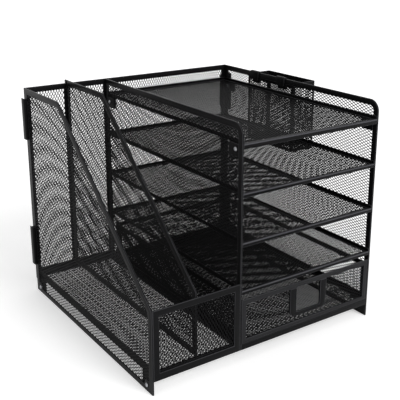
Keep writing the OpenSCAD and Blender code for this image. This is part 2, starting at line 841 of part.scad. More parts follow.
module drawer_floor_rim() {
    color(strip_colour) in_frame() translate([0, 0, front_z])
        strip_frame(box_outline(box_x, box_y, box_x + box_w, box_y + box_l), same(0, 4),
            same(tray_strip_w, 4), tray_t);
}
module drawer_floor_mesh() {
    color(mesh_colour) in_frame() translate([0, 0, front_z])
        mesh_sheet(box_outline(box_x, box_y, box_x + box_w, box_y + box_l), same(0, 4),
            same(tray_strip_w, 4), tray_t);
}

// ---- Pen holder, hung over the top strip of the right side ----

// Upright box tube, its outer size given, with walls of thickness t
module tube(x, y, z, w, l, h, t) {
    difference() {
        translate([x, y, z]) cube([w, l, h]);
        translate([x + t, y + t, z - past]) cube([w - 2 * t, l - 2 * t, h + 2 * past]);
    }
}

module pen_holder_frame() {
    mid_z = pen_z + pen_edge_w;
    mid_h = pen_h - pen_edge_w - pen_rim_w;
    color(strip_colour) in_frame() difference() {
        tube(pen_x, pen_y, pen_z, pen_w, pen_l, pen_h, pen_strip_t);
        translate([pen_x - past, pen_y + pen_edge_w, mid_z])
            cube([pen_w + 2 * past, pen_l - 2 * pen_edge_w, mid_h]);
        translate([pen_x + pen_edge_w, pen_y - past, mid_z])
            cube([pen_w - 2 * pen_edge_w, pen_l + 2 * past, mid_h]);
    }
}

// The mesh lines the frame from inside: two long walls, two short ones between them and a floor
module liner_sheet(x0, y0, x1, y1) {
    mesh_sheet(box_outline(x0, y0, x1, y1), same(0, 4), same(mesh_seat, 4), mesh_t);
}
liner = pen_strip_t + mesh_fit;
liner_low = [pen_x + liner, pen_y + liner, pen_z + mesh_t + mesh_fit];
liner_high = [pen_x + pen_w - liner, pen_y + pen_l - liner, pen_z + pen_h - mesh_fit];
module pen_holder_mesh() {
    short = mesh_t + seat_gap;
    color(mesh_colour) in_frame() {
        for (x = [liner_low[0], liner_high[0] - mesh_t])
            stand_side(x) liner_sheet(liner_low[1], liner_low[2], liner_high[1], liner_high[2]);
        for (y = [liner_low[1], liner_high[1] - mesh_t])
            stand_front(y, mesh_t)
                liner_sheet(liner_low[0] + short, liner_low[2], liner_high[0] - short, liner_high[2]);
    }
}
module pen_holder_floor() {
    color(mesh_colour) in_frame()
        translate([0, 0, pen_z])
            liner_sheet(liner_low[0], liner_low[1], liner_high[0], liner_high[1]);
}

module pen_holder_hooks() {
    leg_x = body_w + hook_fit;
    inner_leg_x = body_w - strip_t - hook_fit - hook_t;
    color(strip_colour) in_frame()
        for (y = hook_ys) translate([0, y, 0]) {
            translate([leg_x, 0, body_h - pen_drop - hook_drop])
                cube([hook_t, hook_w, pen_drop + hook_drop + hook_fit + hook_t]);
            translate([inner_leg_x, 0, body_h + hook_fit])
                cube([leg_x + hook_t - inner_leg_x, hook_w, hook_t]);
            translate([inner_leg_x, 0, body_h - hook_drop])
                cube([hook_t, hook_w, hook_drop + hook_fit + hook_t]);
        }
}

left_side_rim();
left_side_mesh();
divider_rim();
divider_mesh();
inner_side_rim();
inner_side_mesh();
right_side_rim();
right_side_mesh();
back_rim();
back_mesh();
file_front_rim();
file_front_mesh();
file_floor_rim();
file_floor_mesh();
file_floor_edges();
top_tray_rim();
top_tray_mesh();
top_tray_edges();
upper_shelf_rim();
upper_shelf_mesh();
upper_shelf_edges();
middle_shelf_rim();
middle_shelf_mesh();
middle_shelf_edges();
lower_shelf_rim();
lower_shelf_mesh();
lower_shelf_edges();
base_tray_rim();
base_tray_mesh();
base_tray_edges();
tray_screws();
tray_nuts();
corner_sleeves();
back_hooks();
drawer_front_rim();
drawer_front_mesh();
drawer_pull();
drawer_left_rim();
drawer_left_mesh();
drawer_right_rim();
drawer_right_mesh();
drawer_back_rim();
drawer_back_mesh();
drawer_floor_rim();
drawer_floor_mesh();
pen_holder_frame();
pen_holder_mesh();
pen_holder_floor();
pen_holder_hooks();
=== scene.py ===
# %% [markdown]
# # A steel mesh desk organizer
#
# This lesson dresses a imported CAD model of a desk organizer: two upright file bays with a sloped
# front, a top tray, three paper shelves, a drawer and a small pen holder that hangs on the side.
# The real thing is made simply. Thin steel is folded into strips, and each strip is pinched round
# the edge of a sheet of diamond mesh. Everything but the screws is then powder coated black. So
# nearly every piece here is one of two things: a strip with soft folded edges, or a lattice.

# %% Load the frame
import math

import bmesh
import bpy
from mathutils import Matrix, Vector


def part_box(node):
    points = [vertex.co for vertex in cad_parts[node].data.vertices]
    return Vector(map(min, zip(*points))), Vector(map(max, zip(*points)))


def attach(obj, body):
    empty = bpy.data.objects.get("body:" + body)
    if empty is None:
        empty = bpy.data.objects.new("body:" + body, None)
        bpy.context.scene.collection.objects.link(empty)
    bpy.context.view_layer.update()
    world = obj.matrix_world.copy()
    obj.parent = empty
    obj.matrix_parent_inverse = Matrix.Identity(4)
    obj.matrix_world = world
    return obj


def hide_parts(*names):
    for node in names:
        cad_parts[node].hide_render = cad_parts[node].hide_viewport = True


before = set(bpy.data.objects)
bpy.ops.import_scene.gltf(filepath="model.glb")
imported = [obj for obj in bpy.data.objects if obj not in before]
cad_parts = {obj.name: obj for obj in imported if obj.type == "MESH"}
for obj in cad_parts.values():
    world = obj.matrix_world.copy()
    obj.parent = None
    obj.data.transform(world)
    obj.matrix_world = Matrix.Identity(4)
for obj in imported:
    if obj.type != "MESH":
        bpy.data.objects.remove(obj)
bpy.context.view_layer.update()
MM = 0.001

# %% [markdown]
# ## Real sizes
#
# Only the sizes that a node's box can't tell are named: how wide a folded strip is, how deep the
# mesh sits in it, and where the slope of the file section starts. Those of one piece come with
# it.

# %% Sizes that the boxes don't tell
STRIP_W = 8.5 * MM          # the strip round a panel
STRIP_T = 2.4 * MM          # a strip is sheet folded over, so it is thicker than bare sheet
SHEET_T = 1.2 * MM
SEAT_GAP = 0.05 * MM        # between faces that would otherwise share one plane
MESH_SEAT = 3 * MM          # how deep a mesh sits in its strip
EDGE_TO_MESH = STRIP_W - MESH_SEAT
TOP_EDGE_L = 120 * MM       # the level top edge behind the slope
FRONT_WALL_H = 113 * MM
STRIP_ROUND = 0.55 * MM
SHEET_ROUND = 0.4 * MM


def low(node):
    """Lowest corner of a CAD node."""
    return Vector(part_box(node)[0])


def high(node):
    """Highest corner of a CAD node."""
    return Vector(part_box(node)[1])


SLOPE_START = high("back_rim").y - TOP_EDGE_L
slope_top = high("left_side_rim").z
print("the slope rises from", round(FRONT_WALL_H / MM), "mm to", round(slope_top / MM), "mm")

# %% [markdown]
# ## Placing
#
# All the flat panels are drawn lying on the XY plane, where an outline is easy to read, and are
# then stood up. The object's place is applied at the end, so that its mesh holds it and a pattern
# on Object coordinates stays true to size.

# %% Place an object
STAND = {
    "floor": (0, 0, 0),
    "side": (math.pi / 2, 0, math.pi / 2),
    "front": (math.pi / 2, 0, 0),
}
OUTWARDS = {"floor": Vector((0, 0, 1)), "side": Vector((1, 0, 0)), "front": Vector((0, 1, 0))}


def only(obj):
    """Makes obj the one selected and active object."""
    bpy.ops.object.select_all(action="DESELECT")
    obj.select_set(True)
    bpy.context.view_layer.objects.active = obj


def settle(obj):
    """Moves the object's place, turn and size into its mesh."""
    only(obj)
    bpy.ops.object.transform_apply(location=True, rotation=True, scale=True)


def stand(obj, plane, level):
    """Stands a panel that was drawn on the XY plane up in its own plane, at that level."""
    obj.rotation_euler = STAND[plane]
    obj.location = OUTWARDS[plane] * level
    settle(obj)
    return obj


def joined(parts):
    """Joins several objects into the first."""
    only(parts[0])
    for part in parts[1:]:
        part.select_set(True)
    if len(parts) > 1:
        bpy.ops.object.join()
    return bpy.context.object


print("planes to stand a panel in:", ", ".join(STAND))

# %% [markdown]
# ## Selecting by place
#
# An edit mode operator works on whatever is selected, so every step starts by selecting nothing.
# Operators number their new points as they like, so nothing is picked by its number. A step asks
# for the middle of each vertex, edge or face instead, and keeps those in the right place.

# %% Select by place
NEAR = 0.1 * MM     # points closer than this count as one place


def select_in(obj, kind, test):
    """In edit mode, selects the vertices, edges or faces whose middle passes the test."""
    bpy.ops.mesh.select_mode(type=kind)
    bpy.ops.mesh.select_all(action="DESELECT")
    mesh = bmesh.from_edit_mesh(obj.data)
    group = {"VERT": mesh.verts, "EDGE": mesh.edges, "FACE": mesh.faces}[kind]
    for item in group:
        corners = [item] if kind == "VERT" else item.verts
        middle = sum((corner.co for corner in corners), Vector()) / len(corners)
        item.select_set(test(middle))
    mesh.select_flush_mode()
    bmesh.update_edit_mesh(obj.data)


print("places closer than", NEAR / MM, "mm are one")

# %% [markdown]
# ## Soft edges
#
# Folded and coated steel has no sharp edge. Bevel rounds every edge that is sharper than the arcs' own
# facets. It also marks its new faces, through a second material slot, and the mark is kept as an attribute,
# so that the powder coat can paint a lighter highlight along the bends.

# %% Modifiers and soft edges
# marks the bevelled bends, where the coat paints a lighter highlight
EDGE_HIGHLIGHT = "painted_edge_highlight"
BEND_STEPS = 3
SHARP = math.radians(50)
SMOOTH = math.radians(35)


def modify(obj, kind, **settings):
    """Adds one modifier and applies it."""
    only(obj)
    modifier = obj.modifiers.new(kind.lower(), kind)
    for key, value in settings.items():
        setattr(modifier, key, value)
    bpy.ops.object.modifier_apply(modifier=modifier.name)


def soften(obj, width):
    """Rounds the sharp edges, as folding and powder coat do, and marks the bends for a painted highlight.
    """
    for _ in range(2):
        obj.data.materials.append(None)
    modify(obj, "BEVEL", width=width, segments=BEND_STEPS, limit_method="ANGLE",
           angle_limit=SHARP, use_clamp_overlap=True, material=1)
    faces = obj.data.polygons
    rubbed = obj.data.attributes.new(EDGE_HIGHLIGHT, "FLOAT", "FACE")
    rubbed.data.foreach_set("value", [float(face.material_index) for face in faces])
    faces.foreach_set("material_index", [0] * len(faces))
    obj.data.materials.clear()
    only(obj)
    bpy.ops.object.shade_smooth_by_angle(angle=SMOOTH)
    return obj


print("helpers ready for", len(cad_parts), "CAD nodes")

# %% [markdown]
# ## Colours and nodes
#
# A colour is written as a designer reads it off a screen, in sRGB, and one function turns it to
# the linear values that the shader works in. Every node is added by one other function, which
# sets its values and its links in the same line.

# %% Colours and nodes
def linear(hex_code):
    """Linear colour of an sRGB hex value such as 1B1B1C."""
    channels = [int(hex_code[i:i + 2], 16) / 255 for i in (0, 2, 4)]
    return [c / 12.92 if c <= 0.04045 else ((c + 0.055) / 1.055) ** 2.4 for c in channels] + [1.0]


def add_node(tree, kind, settings=None, links=None):
    """Adds one node, sets its properties or sockets, and links the sockets named in links."""
    node = tree.nodes.new(kind)
    for key, value in (settings or {}).items():
        if isinstance(key, str) and hasattr(node, key):
            setattr(node, key, value)
        else:
            node.inputs[key].default_value = value
    for key, (source, output) in (links or {}).items():
        tree.links.new(source.outputs[output], node.inputs[key])
    return node


def new_material(name):
    """A material, its node tree and its Principled shader."""
    material = bpy.data.materials.new(name)
    material.use_nodes = True
    return material, material.node_tree, material.node_tree.nodes["Principled BSDF"]


print("1B1B1C is", [round(value, 4) for value in linear("1B1B1C")], "in linear values")

# %% [markdown]
# ## Powder coat
#
# Powder coat is a dry polyester powder that is sprayed on and baked. On steel strip it gives an even satin
# black with a faint orange peel, a little duller or glossier from place to place. Its bends get a painted
# highlight: thin lighter lines in the colour, patchy with the tone. On the mesh the coat is too fine to
# show peel or that highlight, so it only gets the tone and the gloss.

# %% Satin black powder coat
PEEL_MM = 1.6          # real orange peel is nearer 0.8 mm; twice that still shows
PEEL_DEPTH = 0.1 * MM
TONE_MM = 45           # the coat's tone drifts over a few centimetres
GLOSS_SWING = 0.05     # and its roughness with it, by this much either way
EDGE_HIGHLIGHT_TONE = "4A4A4D"   # painted highlight along the bends
COAT_IOR = 1.5         # polyester
COAT_SHEEN = 0.05      # specular level; kept low, because upright faces mirror the white floor


def powder_coat(name, dark, light, roughness, peel):
    """Polyester powder coat on steel; peel is the strength of its orange peel, and a coat with peel also
    gets the painted highlight on its bends.
    """
    material, tree, shader = new_material(name)
    place = add_node(tree, "ShaderNodeTexCoord")
    tone = add_node(tree, "ShaderNodeTexNoise", {"Scale": 1 / (TONE_MM * MM), "Detail": 3.0},
                    {"Vector": (place, "Object")})
    colour = add_node(tree, "ShaderNodeMix", {"data_type": "RGBA", 6: linear(dark), 7: linear(light)},
                      {0: (tone, 0)})
    if peel:
        # painted highlight: the bends are lighter, patchy with the tone
        bends = add_node(tree, "ShaderNodeAttribute", {"attribute_name": EDGE_HIGHLIGHT})
        highlight_mask = add_node(tree, "ShaderNodeMath", {"operation": "MULTIPLY"},
                        {0: (bends, "Fac"), 1: (tone, 0)})
        colour = add_node(tree, "ShaderNodeMix", {"data_type": "RGBA", 7: linear(EDGE_HIGHLIGHT_TONE)},
                          {0: (highlight_mask, 0), 6: (colour, 2)})
    tree.links.new(colour.outputs[2], shader.inputs["Base Color"])
    gloss = add_node(tree, "ShaderNodeMapRange",
                     {"To Min": roughness - GLOSS_SWING, "To Max": roughness + GLOSS_SWING},
                     {"Value": (tone, 0)})
    tree.links.new(gloss.outputs["Result"], shader.inputs["Roughness"])
    shader.inputs["IOR"].default_value = COAT_IOR
    shader.inputs["Specular IOR Level"].default_value = COAT_SHEEN
    if peel:
        grain = add_node(tree, "ShaderNodeTexNoise", {"Scale": 1 / (PEEL_MM * MM), "Detail": 2.0},
                         {"Vector": (place, "Object")})
        bump = add_node(tree, "ShaderNodeBump", {"Strength": peel, "Distance": PEEL_DEPTH},
                        {"Height": (grain, 0)})
        tree.links.new(bump.outputs["Normal"], shader.inputs["Normal"])
    return material


print("the tone of a coat drifts over", TONE_MM, "mm")

# %% [markdown]
# ## Four coats
#
# The strips are nearly black, with a soft gloss and a painted highlight along their folded edges. The
# drawer's front is a lighter copy of that coat, painted light. The rolled fronts of the trays are lighter
# still, a painted highlight, so that each reads as a line. The mesh is darkest, painted shade for thin
# strands that hold little light, and dullest.

# %% Four coats
strip_coat = powder_coat("satin_black_powder_coat", "0D0D0E", "151516", roughness=0.36, peel=0.35)
# painted light: the drawer's front is a lighter copy of the strip coat
drawer_painted_light_coat = powder_coat("satin_black_powder_coat_painted_light", "1E1E20", "282829", roughness=0.36, peel=0.35)
# painted highlight: the rolled fronts are a lighter copy of the strip coat
bead_highlight_coat = powder_coat("painted_highlight_powder_coat", "3A3A3D", "505054", roughness=0.3, peel=0.2)
# painted shade: the mesh is a darker copy of the strip coat
mesh_coat = powder_coat("powder_coated_mesh", "09090A", "101011", roughness=0.5, peel=0)
print("made", [coat.name for coat in (strip_coat, drawer_painted_light_coat, bead_highlight_coat, mesh_coat)])

# %% [markdown]
# ## Zinc plate
#
# The screws and nuts are steel with bright zinc on it, and small enough to stay CAD nodes. Zinc is
# a metal, so its colour is its reflection, and its IOR is left alone. Fine turning marks break the
# gloss up. The material goes into the slots that the two nodes already have.

# %% Zinc plated steel for the screws and nuts
TURNING_MM = 0.5   # turning marks on the heads, drawn coarse enough to show
ZINC_GLOSS = (0.22, 0.38)


def zinc_plate():
    """Bright zinc on steel, with fine turning marks."""
    material, tree, shader = new_material("zinc_plated_steel")
    place = add_node(tree, "ShaderNodeTexCoord")
    marks = add_node(tree, "ShaderNodeTexNoise", {"Scale": 1 / (TURNING_MM * MM), "Detail": 1.0},
                     {"Vector": (place, "Object")})
    gloss = add_node(tree, "ShaderNodeMapRange", {"To Min": ZINC_GLOSS[0], "To Max": ZINC_GLOSS[1]},
                     {"Value": (marks, 0)})
    tree.links.new(gloss.outputs["Result"], shader.inputs["Roughness"])
    # painted shade: the zinc is drawn darker than bright zinc, for the dark surroundings its heads mirror
    shader.inputs["Base Color"].default_value = linear("9C9DA1")
    shader.inputs["Metallic"].default_value = 1.0
    return material


zinc = zinc_plate()
for node in ("tray_screws", "tray_nuts"):
    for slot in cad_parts[node].material_slots:
        slot.material = zinc
print("made", zinc.name)

# %% [markdown]
# ## A panel's outline
#
# Each panel is a folded strip round a sheet of mesh. The strip starts as a plane of the panel's
# size. A slope is cut off it with bisect, and a corner is rounded by bevelling its vertex. A
# curve could draw the outline too, but this way each corner stays where the CAD has it.

# %% A plate with its outline
CORNER_STEPS = 8


def cut(obj, lines, fill=False):
    """Cuts off what lies left of each line, seen along it from its first point to its second."""
    only(obj)
    bpy.ops.object.mode_set(mode="EDIT")
    for start, end in lines:
        along = Vector(end) - Vector(start)
        bpy.ops.mesh.select_all(action="SELECT")
        bpy.ops.mesh.bisect(plane_co=(start[0], start[1], 0), plane_no=(-along.y, along.x, 0),
                            use_fill=fill, clear_outer=True)
    bpy.ops.object.mode_set(mode="OBJECT")


def blank(start, end, lines=(), rounds=()):
    """A flat plate on the XY plane, cut along lines, with a radius at some of its corners."""
    bpy.ops.object.select_all(action="DESELECT")
    bpy.ops.mesh.primitive_plane_add(size=1)
    plate = bpy.context.object
    plate.location = ((start[0] + end[0]) / 2, (start[1] + end[1]) / 2, 0)
    plate.scale = (end[0] - start[0], end[1] - start[1], 1)
    settle(plate)
    cut(plate, lines)
    for corner, radius in rounds:
        round_corner(plate, corner, radius)
    return plate


def round_corner(plate, corner, radius):
    """Bevels the vertex nearest to that corner to an arc."""
    loop = [plate.data.vertices[i].co.xy for i in plate.data.polygons[0].vertices]
    at = min(range(len(loop)), key=lambda i: (loop[i] - Vector(corner)).length)
    here = loop[at].copy()
    back = loop[at - 1] - here
    ahead = loop[(at + 1) % len(loop)] - here
    half = back.angle(ahead) / 2
    bpy.ops.object.mode_set(mode="EDIT")
    select_in(plate, "VERT", lambda m: (m.xy - here).length < NEAR)
    bpy.ops.mesh.bevel(affect="VERTICES", offset=radius / math.tan(half), segments=CORNER_STEPS,
                       profile=0.5)
    bpy.ops.object.mode_set(mode="OBJECT")


print("a round corner has", CORNER_STEPS, "facets")

# %% [markdown]
# ## The folded strip
#
# On the real panel a strip of sheet is folded over the mesh's edge and pressed flat. From outside
# it is a flat ring with soft edges. Inset draws its inner edge at an even width, also along the
# slope, and the middle is deleted. Where the foot has a width of its own, the lowest inner points
# are moved. Solidify then gives the ring its thickness, and Bevel its soft edges.

# %% The folded strip round a panel
def hollow(plate, width, shifts=()):
    """Insets the plate by the strip's width and deletes its middle. shifts move inner points."""
    only(plate)
    bpy.ops.object.mode_set(mode="EDIT")
    bpy.ops.mesh.select_mode(type="FACE")
    bpy.ops.mesh.select_all(action="SELECT")
    bpy.ops.mesh.inset(thickness=width, use_even_offset=True)
    bpy.ops.mesh.delete(type="FACE")
    for test, move in shifts:
        select_in(plate, "VERT", test)
        bpy.ops.transform.translate(value=move)
    bpy.ops.object.mode_set(mode="OBJECT")


def ring(start, end, width, lines=(), rounds=(), foot=0):
    """The flat strip round a panel, on the XY plane. foot widens its lowest side."""
    inner = start[1] + width
    shifts = []
    if foot:
        shifts = [(lambda m: abs(m.y - inner) < NEAR and start[0] + MM < m.x < end[0] - MM,
                   (0, foot - width, 0))]
    plate = blank(start, end, lines, rounds)
    hollow(plate, width, shifts)
    return plate


def thicken(sheet, thickness, rounding):
    """Gives a sheet its thickness and soft edges."""
    modify(sheet, "SOLIDIFY", thickness=thickness, offset=0, use_even_offset=True)
    return soften(sheet, rounding)


print("a strip is", STRIP_W / MM, "mm wide and", STRIP_T / MM, "mm thick")

# %% [markdown]
# ## The lattice
#
# Expanded mesh is slit and stretched sheet: its strands zigzag and leave diamonds. Seen as a
# whole they make two families of straight strands that cross. One strand is a long thin box. An
# Array repeats it, the family is turned, and bisect trims it to the panel and closes the cut
# ends. Crossing families lie a hair apart, so that no two faces share one plane. Sheets are cut
# from the roll either way: on the sides the long way of the diamonds is level, on the back and
# the low front wall it is upright. All families count from one grid through the origin.

# %% Strands and lattices
DIAMOND_LONG = 8.0 * MM     # the real diamonds are about 7.2 by 3.9 mm, and blur to grey;
DIAMOND_SHORT = 4.35 * MM   # drawn this much coarser they still show
STRAND_W = 0.88 * MM
STRAND_T = 0.45 * MM
WEAVE = 0.06 * MM           # how far each family lies off the sheet's middle


def strands(start, end, turn, level, lines):
    """One family of strands over a panel on the XY plane, turned by that angle."""
    start, end = Vector(start), Vector(end)
    middle = (start + end) / 2
    step = DIAMOND_LONG * DIAMOND_SHORT / math.hypot(DIAMOND_LONG, DIAMOND_SHORT)
    reach = (end - start).length + 2 * step
    count = int(reach / step) + 1
    across = Vector((-math.sin(turn), math.cos(turn)))
    place = middle - across * ((middle @ across) % step)
    bpy.ops.object.select_all(action="DESELECT")
    bpy.ops.mesh.primitive_cube_add(size=1)
    family = bpy.context.object
    family.location = (0, -(count // 2) * step, level)
    family.scale = (reach, STRAND_W, STRAND_T)
    settle(family)
    modify(family, "ARRAY", count=count, use_relative_offset=False, use_constant_offset=True,
           constant_offset_displace=(0, step, 0))
    family.rotation_euler = (0, 0, turn)
    family.location = (place.x, place.y, 0)
    settle(family)
    corners = [(start.x, start.y), (start.x, end.y), (end.x, end.y), (end.x, start.y)]
    edges = list(zip(corners, corners[1:] + corners[:1]))
    cut(family, edges + list(lines), fill=True)
    return family


def lattice(start, end, long_up=False, lines=()):
    """Both families of a panel's mesh. long_up stands the long way of the diamonds up."""
    lean = math.atan2(DIAMOND_SHORT, DIAMOND_LONG)
    if long_up:
        lean = math.pi / 2 - lean
    return joined([strands(start, end, way * lean, way * WEAVE, lines) for way in (1, -1)])


print("diamonds of", DIAMOND_LONG / MM, "by", DIAMOND_SHORT / MM, "mm")

# %% [markdown]
# ## Bookkeeping
#
# Each finished piece is named, tied to the body it moves with and given the material it wears, and the CAD
# nodes it stands for are hidden.

# %% Finish a piece
made = []


def finish(obj, name, body, nodes, coat):
    """Names a finished piece, gives it its material, ties it to its body and hides its CAD nodes."""
    obj.name = name
    obj.data.name = name
    obj.data.materials.clear()
    obj.data.materials.append(coat)
    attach(obj, body)
    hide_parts(*nodes)
    made.append(obj)
    return obj


def finish_strip(parts, name, body, *nodes, coat=strip_coat):
    """A finished piece of folded strip, joined from its parts."""
    return finish(joined(parts), name, body, nodes, coat)


def finish_mesh(parts, name, body, *nodes):
    """A finished piece of mesh, joined from its parts."""
    return finish(joined(parts), name, body, nodes, mesh_coat)


# %% [markdown]
# ## A panel in its place
#
# A CAD node's box says where its panel is: two corners in the panel's own plane, and the level of
# the plane. The strip and the mesh of a panel are drawn between those corners and stood up there.

# %% Panels in the place of their nodes
AXES = {"floor": (0, 1, 2), "side": (1, 2, 0), "front": (0, 2, 1)}


def flat_box(node, plane):
    """A node's box in its own plane: its two corners there and the level of its middle."""
    u, v, n = AXES[plane]
    a, b = low(node), high(node)
    return (a[u], a[v]), (b[u], b[v]), (a[n] + b[n]) / 2


def panel_strip(node, plane, width, **shape):
    """The strip of a panel, in the place of its CAD node."""
    start, end, level = flat_box(node, plane)
    strip = thicken(ring(start, end, width, **shape), STRIP_T, STRIP_ROUND)
    return stand(strip, plane, level)


def panel_mesh(node, plane, drop=0, **shape):
    """The mesh of a panel, in the place of its CAD node. drop takes its lowest edge further down."""
    start, end, level = flat_box(node, plane)
    return stand(lattice((start[0], start[1] - drop), end, **shape), plane, level)


print("the left side lies at x =", round(flat_box("left_side_rim", "side")[2] / MM, 1), "mm")

# %% [markdown]
# ## Plates and folded plates
#
# Pads, raised tray edges and lips are plates: a cube at its size and place with its edges
# rounded. A hook or sleeve is one plate folded once or twice. It starts as a standing plane, and
# each further leg is an edge extruded on from the last one. The folds are bevelled before
# Solidify gives the sheet its thickness.

# %% Plates
FOLD_STEPS = 4


def plate(a, b, rounding=SHEET_ROUND):
    """A plate from corner a to corner b with soft edges."""
    a, b = Vector(a), Vector(b)
    bpy.ops.object.select_all(action="DESELECT")
    bpy.ops.mesh.primitive_cube_add(size=1)
    slab = bpy.context.object
    slab.location = (a + b) / 2
    slab.scale = [abs(v) for v in b - a]
    settle(slab)
    return soften(slab, rounding)


def folded_plate(points, height, thickness, fold_r):
    """Sheet folded along points on the XY plane, standing from z = 0 up to that height."""
    points = [Vector(p) for p in points]
    along = points[1] - points[0]
    bpy.ops.object.select_all(action="DESELECT")
    bpy.ops.mesh.primitive_plane_add(size=1)
    sheet = bpy.context.object
    sheet.scale = (along.length, height, 1)
    sheet.rotation_euler = (math.pi / 2, 0, math.atan2(along.y, along.x))
    middle = (points[0] + points[1]) / 2
    sheet.location = (middle.x, middle.y, height / 2)
    settle(sheet)
    bpy.ops.object.mode_set(mode="EDIT")
    for here, there in zip(points[1:], points[2:]):
        select_in(sheet, "EDGE", lambda m: (m.xy - here).length < NEAR)
        step = there - here
        bpy.ops.mesh.extrude_region_move(TRANSFORM_OT_translate={"value": (step.x, step.y, 0)})
    select_in(sheet, "EDGE", lambda m: any((m.xy - fold).length < NEAR for fold in points[1:-1]))
    bpy.ops.mesh.bevel(affect="EDGES", offset=fold_r, segments=FOLD_STEPS, profile=0.5)
    bpy.ops.object.mode_set(mode="OBJECT")
    return thicken(sheet, thickness, SHEET_ROUND)


print("a fold has", FOLD_STEPS, "facets")

# %% [markdown]
# ## The four upright panels
#
# The left side and the divider share one profile with a sloped front, so that files can be
# gripped. The inner and the right side are full height with one rounded corner. The two outer
# sides reach the desk, on a narrower strip. Pads fill the corners where screws go through. A pad
# is a little thinner than the strip, as a plate that is pinched in the fold would be.

# %% Pads in the corners of a side
PAD_INSET = 0.5 * MM        # from the strip's outer edges, and off its thickness
FOOT_PAD_L = 25 * MM
LEFT_PAD_L = 20 * MM
LEFT_PAD_TOP = 15.5 * MM
TOP_PAD_L = 29 * MM
PAD_R = 7 * MM
EAR_LOW = low("top_tray_edges").z
EAR_HIGH = low("top_tray_rim").z
FOOT_TOP = high("base_tray_rim").z
FOOT_Z = low("left_side_rim").z + PAD_INSET


def pads(node, length, z0, z1):
    """A front and a rear pad in a side, between two heights, with a round upper inner corner."""
    start, end, level = flat_box(node, "side")
    parts = []
    for y0, y1, inner in ((start[0] + PAD_INSET, start[0] + length, start[0] + length),
                          (end[0] - length, end[0] - PAD_INSET, end[0] - length)):
        sheet = blank((y0, z0), (y1, z1), rounds=[((inner, z1), PAD_R)])
        parts.append(stand(thicken(sheet, STRIP_T - PAD_INSET, SHEET_ROUND), "side", level))
    return parts


print("pads under the top tray go from", round(EAR_LOW / MM, 1), "to", round(EAR_HIGH / MM, 1), "mm")

# %% [markdown]
# ## The left side
#
# The slope is a line from the front wall's height to the level top edge. The strip is cut along
# it, with a bend where the two meet, and the mesh is cut along the same line moved inwards, so
# that it ends inside the strip all the way up.

# %% Left side
FOOT_STRIP_W = 6.5 * MM     # the outer sides' lowest strip, which stands on the desk
FOOT_MESH_DROP = 3.5 * MM   # the narrow foot strips take their mesh lower than the CAD sheet
SLOPE_R = 18 * MM
left_front = low("left_side_rim").y
left_slope = ((left_front, FRONT_WALL_H), (SLOPE_START, slope_top))


def moved_in(line, distance):
    """A line moved to its right, which is the side of the panel."""
    start, end = Vector(line[0]), Vector(line[1])
    along = (end - start).normalized()
    step = Vector((along.y, -along.x)) * distance
    return (tuple(start + step), tuple(end + step))


left_ring = panel_strip("left_side_rim", "side", STRIP_W, lines=[left_slope],
                        rounds=[((SLOPE_START, slope_top), SLOPE_R)], foot=FOOT_STRIP_W)
left_side = finish_strip([left_ring] + pads("left_side_rim", LEFT_PAD_L, FOOT_Z, LEFT_PAD_TOP),
                         "left_side_strip", "frame", "left_side_rim")
left_mesh = finish_mesh(
    [panel_mesh("left_side_mesh", "side", drop=FOOT_MESH_DROP,
                lines=[moved_in(left_slope, EDGE_TO_MESH)])],
    "left_side_sheet", "frame", "left_side_mesh")
print("left side:", len(left_side.data.polygons), "and", len(left_mesh.data.polygons), "faces")

# %% [markdown]
# ## The divider
#
# It stands on the file floor and is 5 mm higher than the back panel, because a strap at its top
# goes back over the panel's edge and turns down behind it. That strap is two plates in one line.
# The strap is part of the divider's CAD node, so the ring's place is taken from the mesh's box.

# %% Divider with its strap
STRAP_DOWN = 6 * MM     # how far the strap turns down behind the back panel
start, end, level = flat_box("divider_mesh", "side")
start = (start[0] - EDGE_TO_MESH, start[1] - EDGE_TO_MESH)
end = (end[0] + EDGE_TO_MESH, end[1] + EDGE_TO_MESH)
DIVIDER_RISE = end[1] - slope_top
divider_slope = ((start[0], FRONT_WALL_H + DIVIDER_RISE), (SLOPE_START, end[1]))
divider_ring = ring(start, end, STRIP_W, lines=[divider_slope],
                    rounds=[((SLOPE_START, end[1]), SLOPE_R)])
divider_strip = stand(thicken(divider_ring, STRIP_T, STRIP_ROUND), "side", level)
strap_high = high("divider_rim")
half = STRIP_T / 2
back_top = high("back_rim").z
strap_end = (level + half, strap_high.y, end[1])
strap = [plate((level - half, end[0] - STRIP_W / 2, back_top + SEAT_GAP), strap_end),
         plate((level - half, strap_high.y - SHEET_T, back_top - STRAP_DOWN), strap_end)]
finish_strip([divider_strip] + strap, "divider_strip", "frame", "divider_rim")
finish_mesh([panel_mesh("divider_mesh", "side", lines=[moved_in(divider_slope, EDGE_TO_MESH)])],
            "divider_sheet", "frame", "divider_mesh")
print("divider stands", round(DIVIDER_RISE / MM, 1), "mm above the back panel")

# %% [markdown]
# ## The inner and the right side
#
# These two hold the trays between them. They are alike, but only the right one reaches the desk:
# the inner one stops above it, so it has no foot strip and no foot pads. One loop makes both.

# %% Inner side and right side
CORNER_R = 16 * MM
for side, foot in (("inner_side", 0), ("right_side", FOOT_STRIP_W)):
    rim = side + "_rim"
    start, end, level = flat_box(rim, "side")
    parts = [panel_strip(rim, "side", STRIP_W, rounds=[((start[0], end[1]), CORNER_R)], foot=foot)]
    parts += pads(rim, TOP_PAD_L, EAR_LOW, EAR_HIGH)
    if foot:
        parts += pads(rim, FOOT_PAD_L, FOOT_Z, FOOT_TOP)
    finish_strip(parts, side + "_strip", "frame", rim)
    drop = FOOT_MESH_DROP if foot else 0
    finish_mesh([panel_mesh(side + "_mesh", "side", drop=drop)], side + "_sheet", "frame", side + "_mesh")
    print(side, "done, with", len(parts) - 1, "pads")

# %% [markdown]
# ## The back panel
#
# It is a plain strip round a sheet, with two upright bars, behind the divider and the inner side.
# They are laid over the ring as thin plates, and the ring's own edges stay round.

